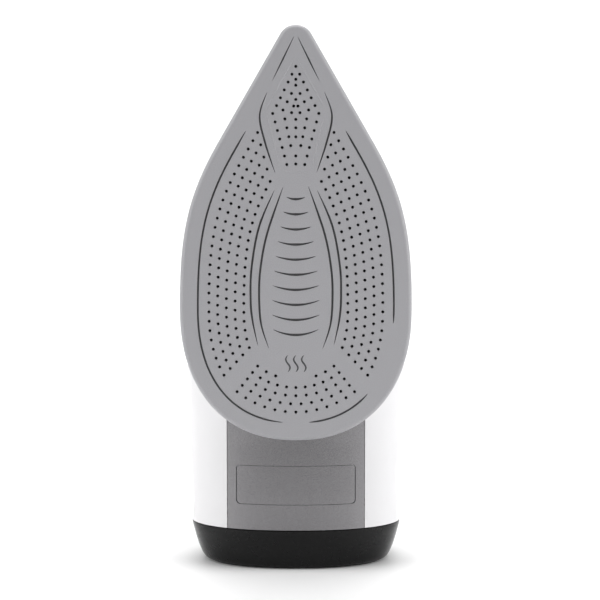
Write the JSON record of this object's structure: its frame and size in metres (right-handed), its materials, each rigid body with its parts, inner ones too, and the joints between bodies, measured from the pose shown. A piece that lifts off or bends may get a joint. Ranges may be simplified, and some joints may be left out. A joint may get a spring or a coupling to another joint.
{
  "type": "steam iron",
  "caption": "Steam iron standing on its heel, with a pointed steam-hole soleplate, closed-loop handle, water tank and press, slide and turn controls.",
  "frame": {"origin": "on the underside of the heel pad, at half the iron's width and half its depth", "axes": "+X across the iron, -Y the way the soleplate faces, +Z from the heel to the tip"},
  "size_m": [0.1224, 0.15, 0.291],
  "materials": {
    "sole_coating": "satin ceramic coating",
    "cast_aluminium": "cast",
    "steel": "drawn",
    "heat_resistant_black": "matte",
    "silicone": "matte",
    "white_plastic": "gloss",
    "silver_plastic": "fine spark texture",
    "black_plastic": "high gloss",
    "soft_grip": "soft touch",
    "smoky_plastic": "clear smoke tint",
    "grey_plastic": "satin",
    "lamp_lens": "clear amber",
    "lead_sleeve": "braided glass sleeve"
  },
  "bodies": {
    "iron_body": {"soleplate": "sole_coating", "heater_casting": "cast_aluminium", "heating_element": "steel", "steam_chamber_lid": "cast_aluminium", "heat_shield": "heat_resistant_black", "thermostat": "steel", "thermal_fuse": "steel", "steam_inlet_seal": "silicone", "sole_screw_1": "steel", "sole_screw_2": "steel", "sole_screw_3": "steel", "main_shell": "white_plastic", "rear_panel": "silver_plastic", "heel_base": "black_plastic", "heel_pad": "heat_resistant_black", "heel_screw_1": "steel", "heel_screw_2": "steel", "water_tank": "smoky_plastic", "handle_housing": "white_plastic", "grip_cover": "soft_grip", "filler_hinge_pin": "steel", "button_bezel": "grey_plastic", "pump_block": "silicone", "spray_spring": "steel", "burst_spring": "steel", "spray_nozzle": "white_plastic", "indicator_lamp": "lamp_lens", "terminal_block": "silicone", "live_lead": "lead_sleeve", "neutral_lead": "lead_sleeve", "nozzle_hose": "silicone"},
    "temperature_dial": {"temperature_dial": "grey_plastic", "thermostat_shaft": "silicone"},
    "steam_slider": {"steam_slider": "white_plastic"},
    "steam_rod": {"steam_valve_rod": "steel"},
    "spray_button": {"spray_button": "white_plastic", "spray_piston": "silicone"},
    "burst_button": {"burst_button": "white_plastic", "burst_piston": "silicone"},
    "filler_door": {"filler_door": "smoky_plastic"},
    "cord_gland": {"cord_gland": "heat_resistant_black"}
  },
  "joints": [
    {"name": "temperature_dial_turn", "type": "hinge", "parent": "iron_body", "child": "temperature_dial", "pos_m": [0, 0.005, 0.1], "axis": [0, 1, 0], "range_deg": [0, 270]},
    {"name": "steam_slider_slide", "type": "slide", "parent": "iron_body", "child": "steam_slider", "axis": [1, 0, 0], "range_m": [0, 0.016]},
    {"name": "steam_rod_lift", "type": "slide", "parent": "iron_body", "child": "steam_rod", "axis": [0, 1, 0], "range_m": [0, 0.003]},
    {"name": "spray_button_press", "type": "slide", "parent": "iron_body", "child": "spray_button", "axis": [0, -0.7877, -0.616], "range_m": [0, 0.004], "stiffness_N_per_m": 300, "deforming": ["spray_spring"]},
    {"name": "burst_button_press", "type": "slide", "parent": "iron_body", "child": "burst_button", "axis": [0, -0.7877, -0.616], "range_m": [0, 0.004], "stiffness_N_per_m": 400, "deforming": ["burst_spring"]},
    {"name": "filler_door_open", "type": "hinge", "parent": "iron_body", "child": "filler_door", "pos_m": [0, 0.01714, 0.22865], "axis": [-1, 0, 0], "range_deg": [0, 75]},
    {"name": "cord_gland_swivel", "type": "hinge", "parent": "iron_body", "child": "cord_gland", "pos_m": [0, 0.05328, 0.03935], "axis": [1, 0, 0], "range_deg": [-20, 20]}
  ],
  "couplings": [
    {"joint": "steam_rod_lift", "follows": "steam_slider_slide", "ratio": 0.1875}
  ]
}
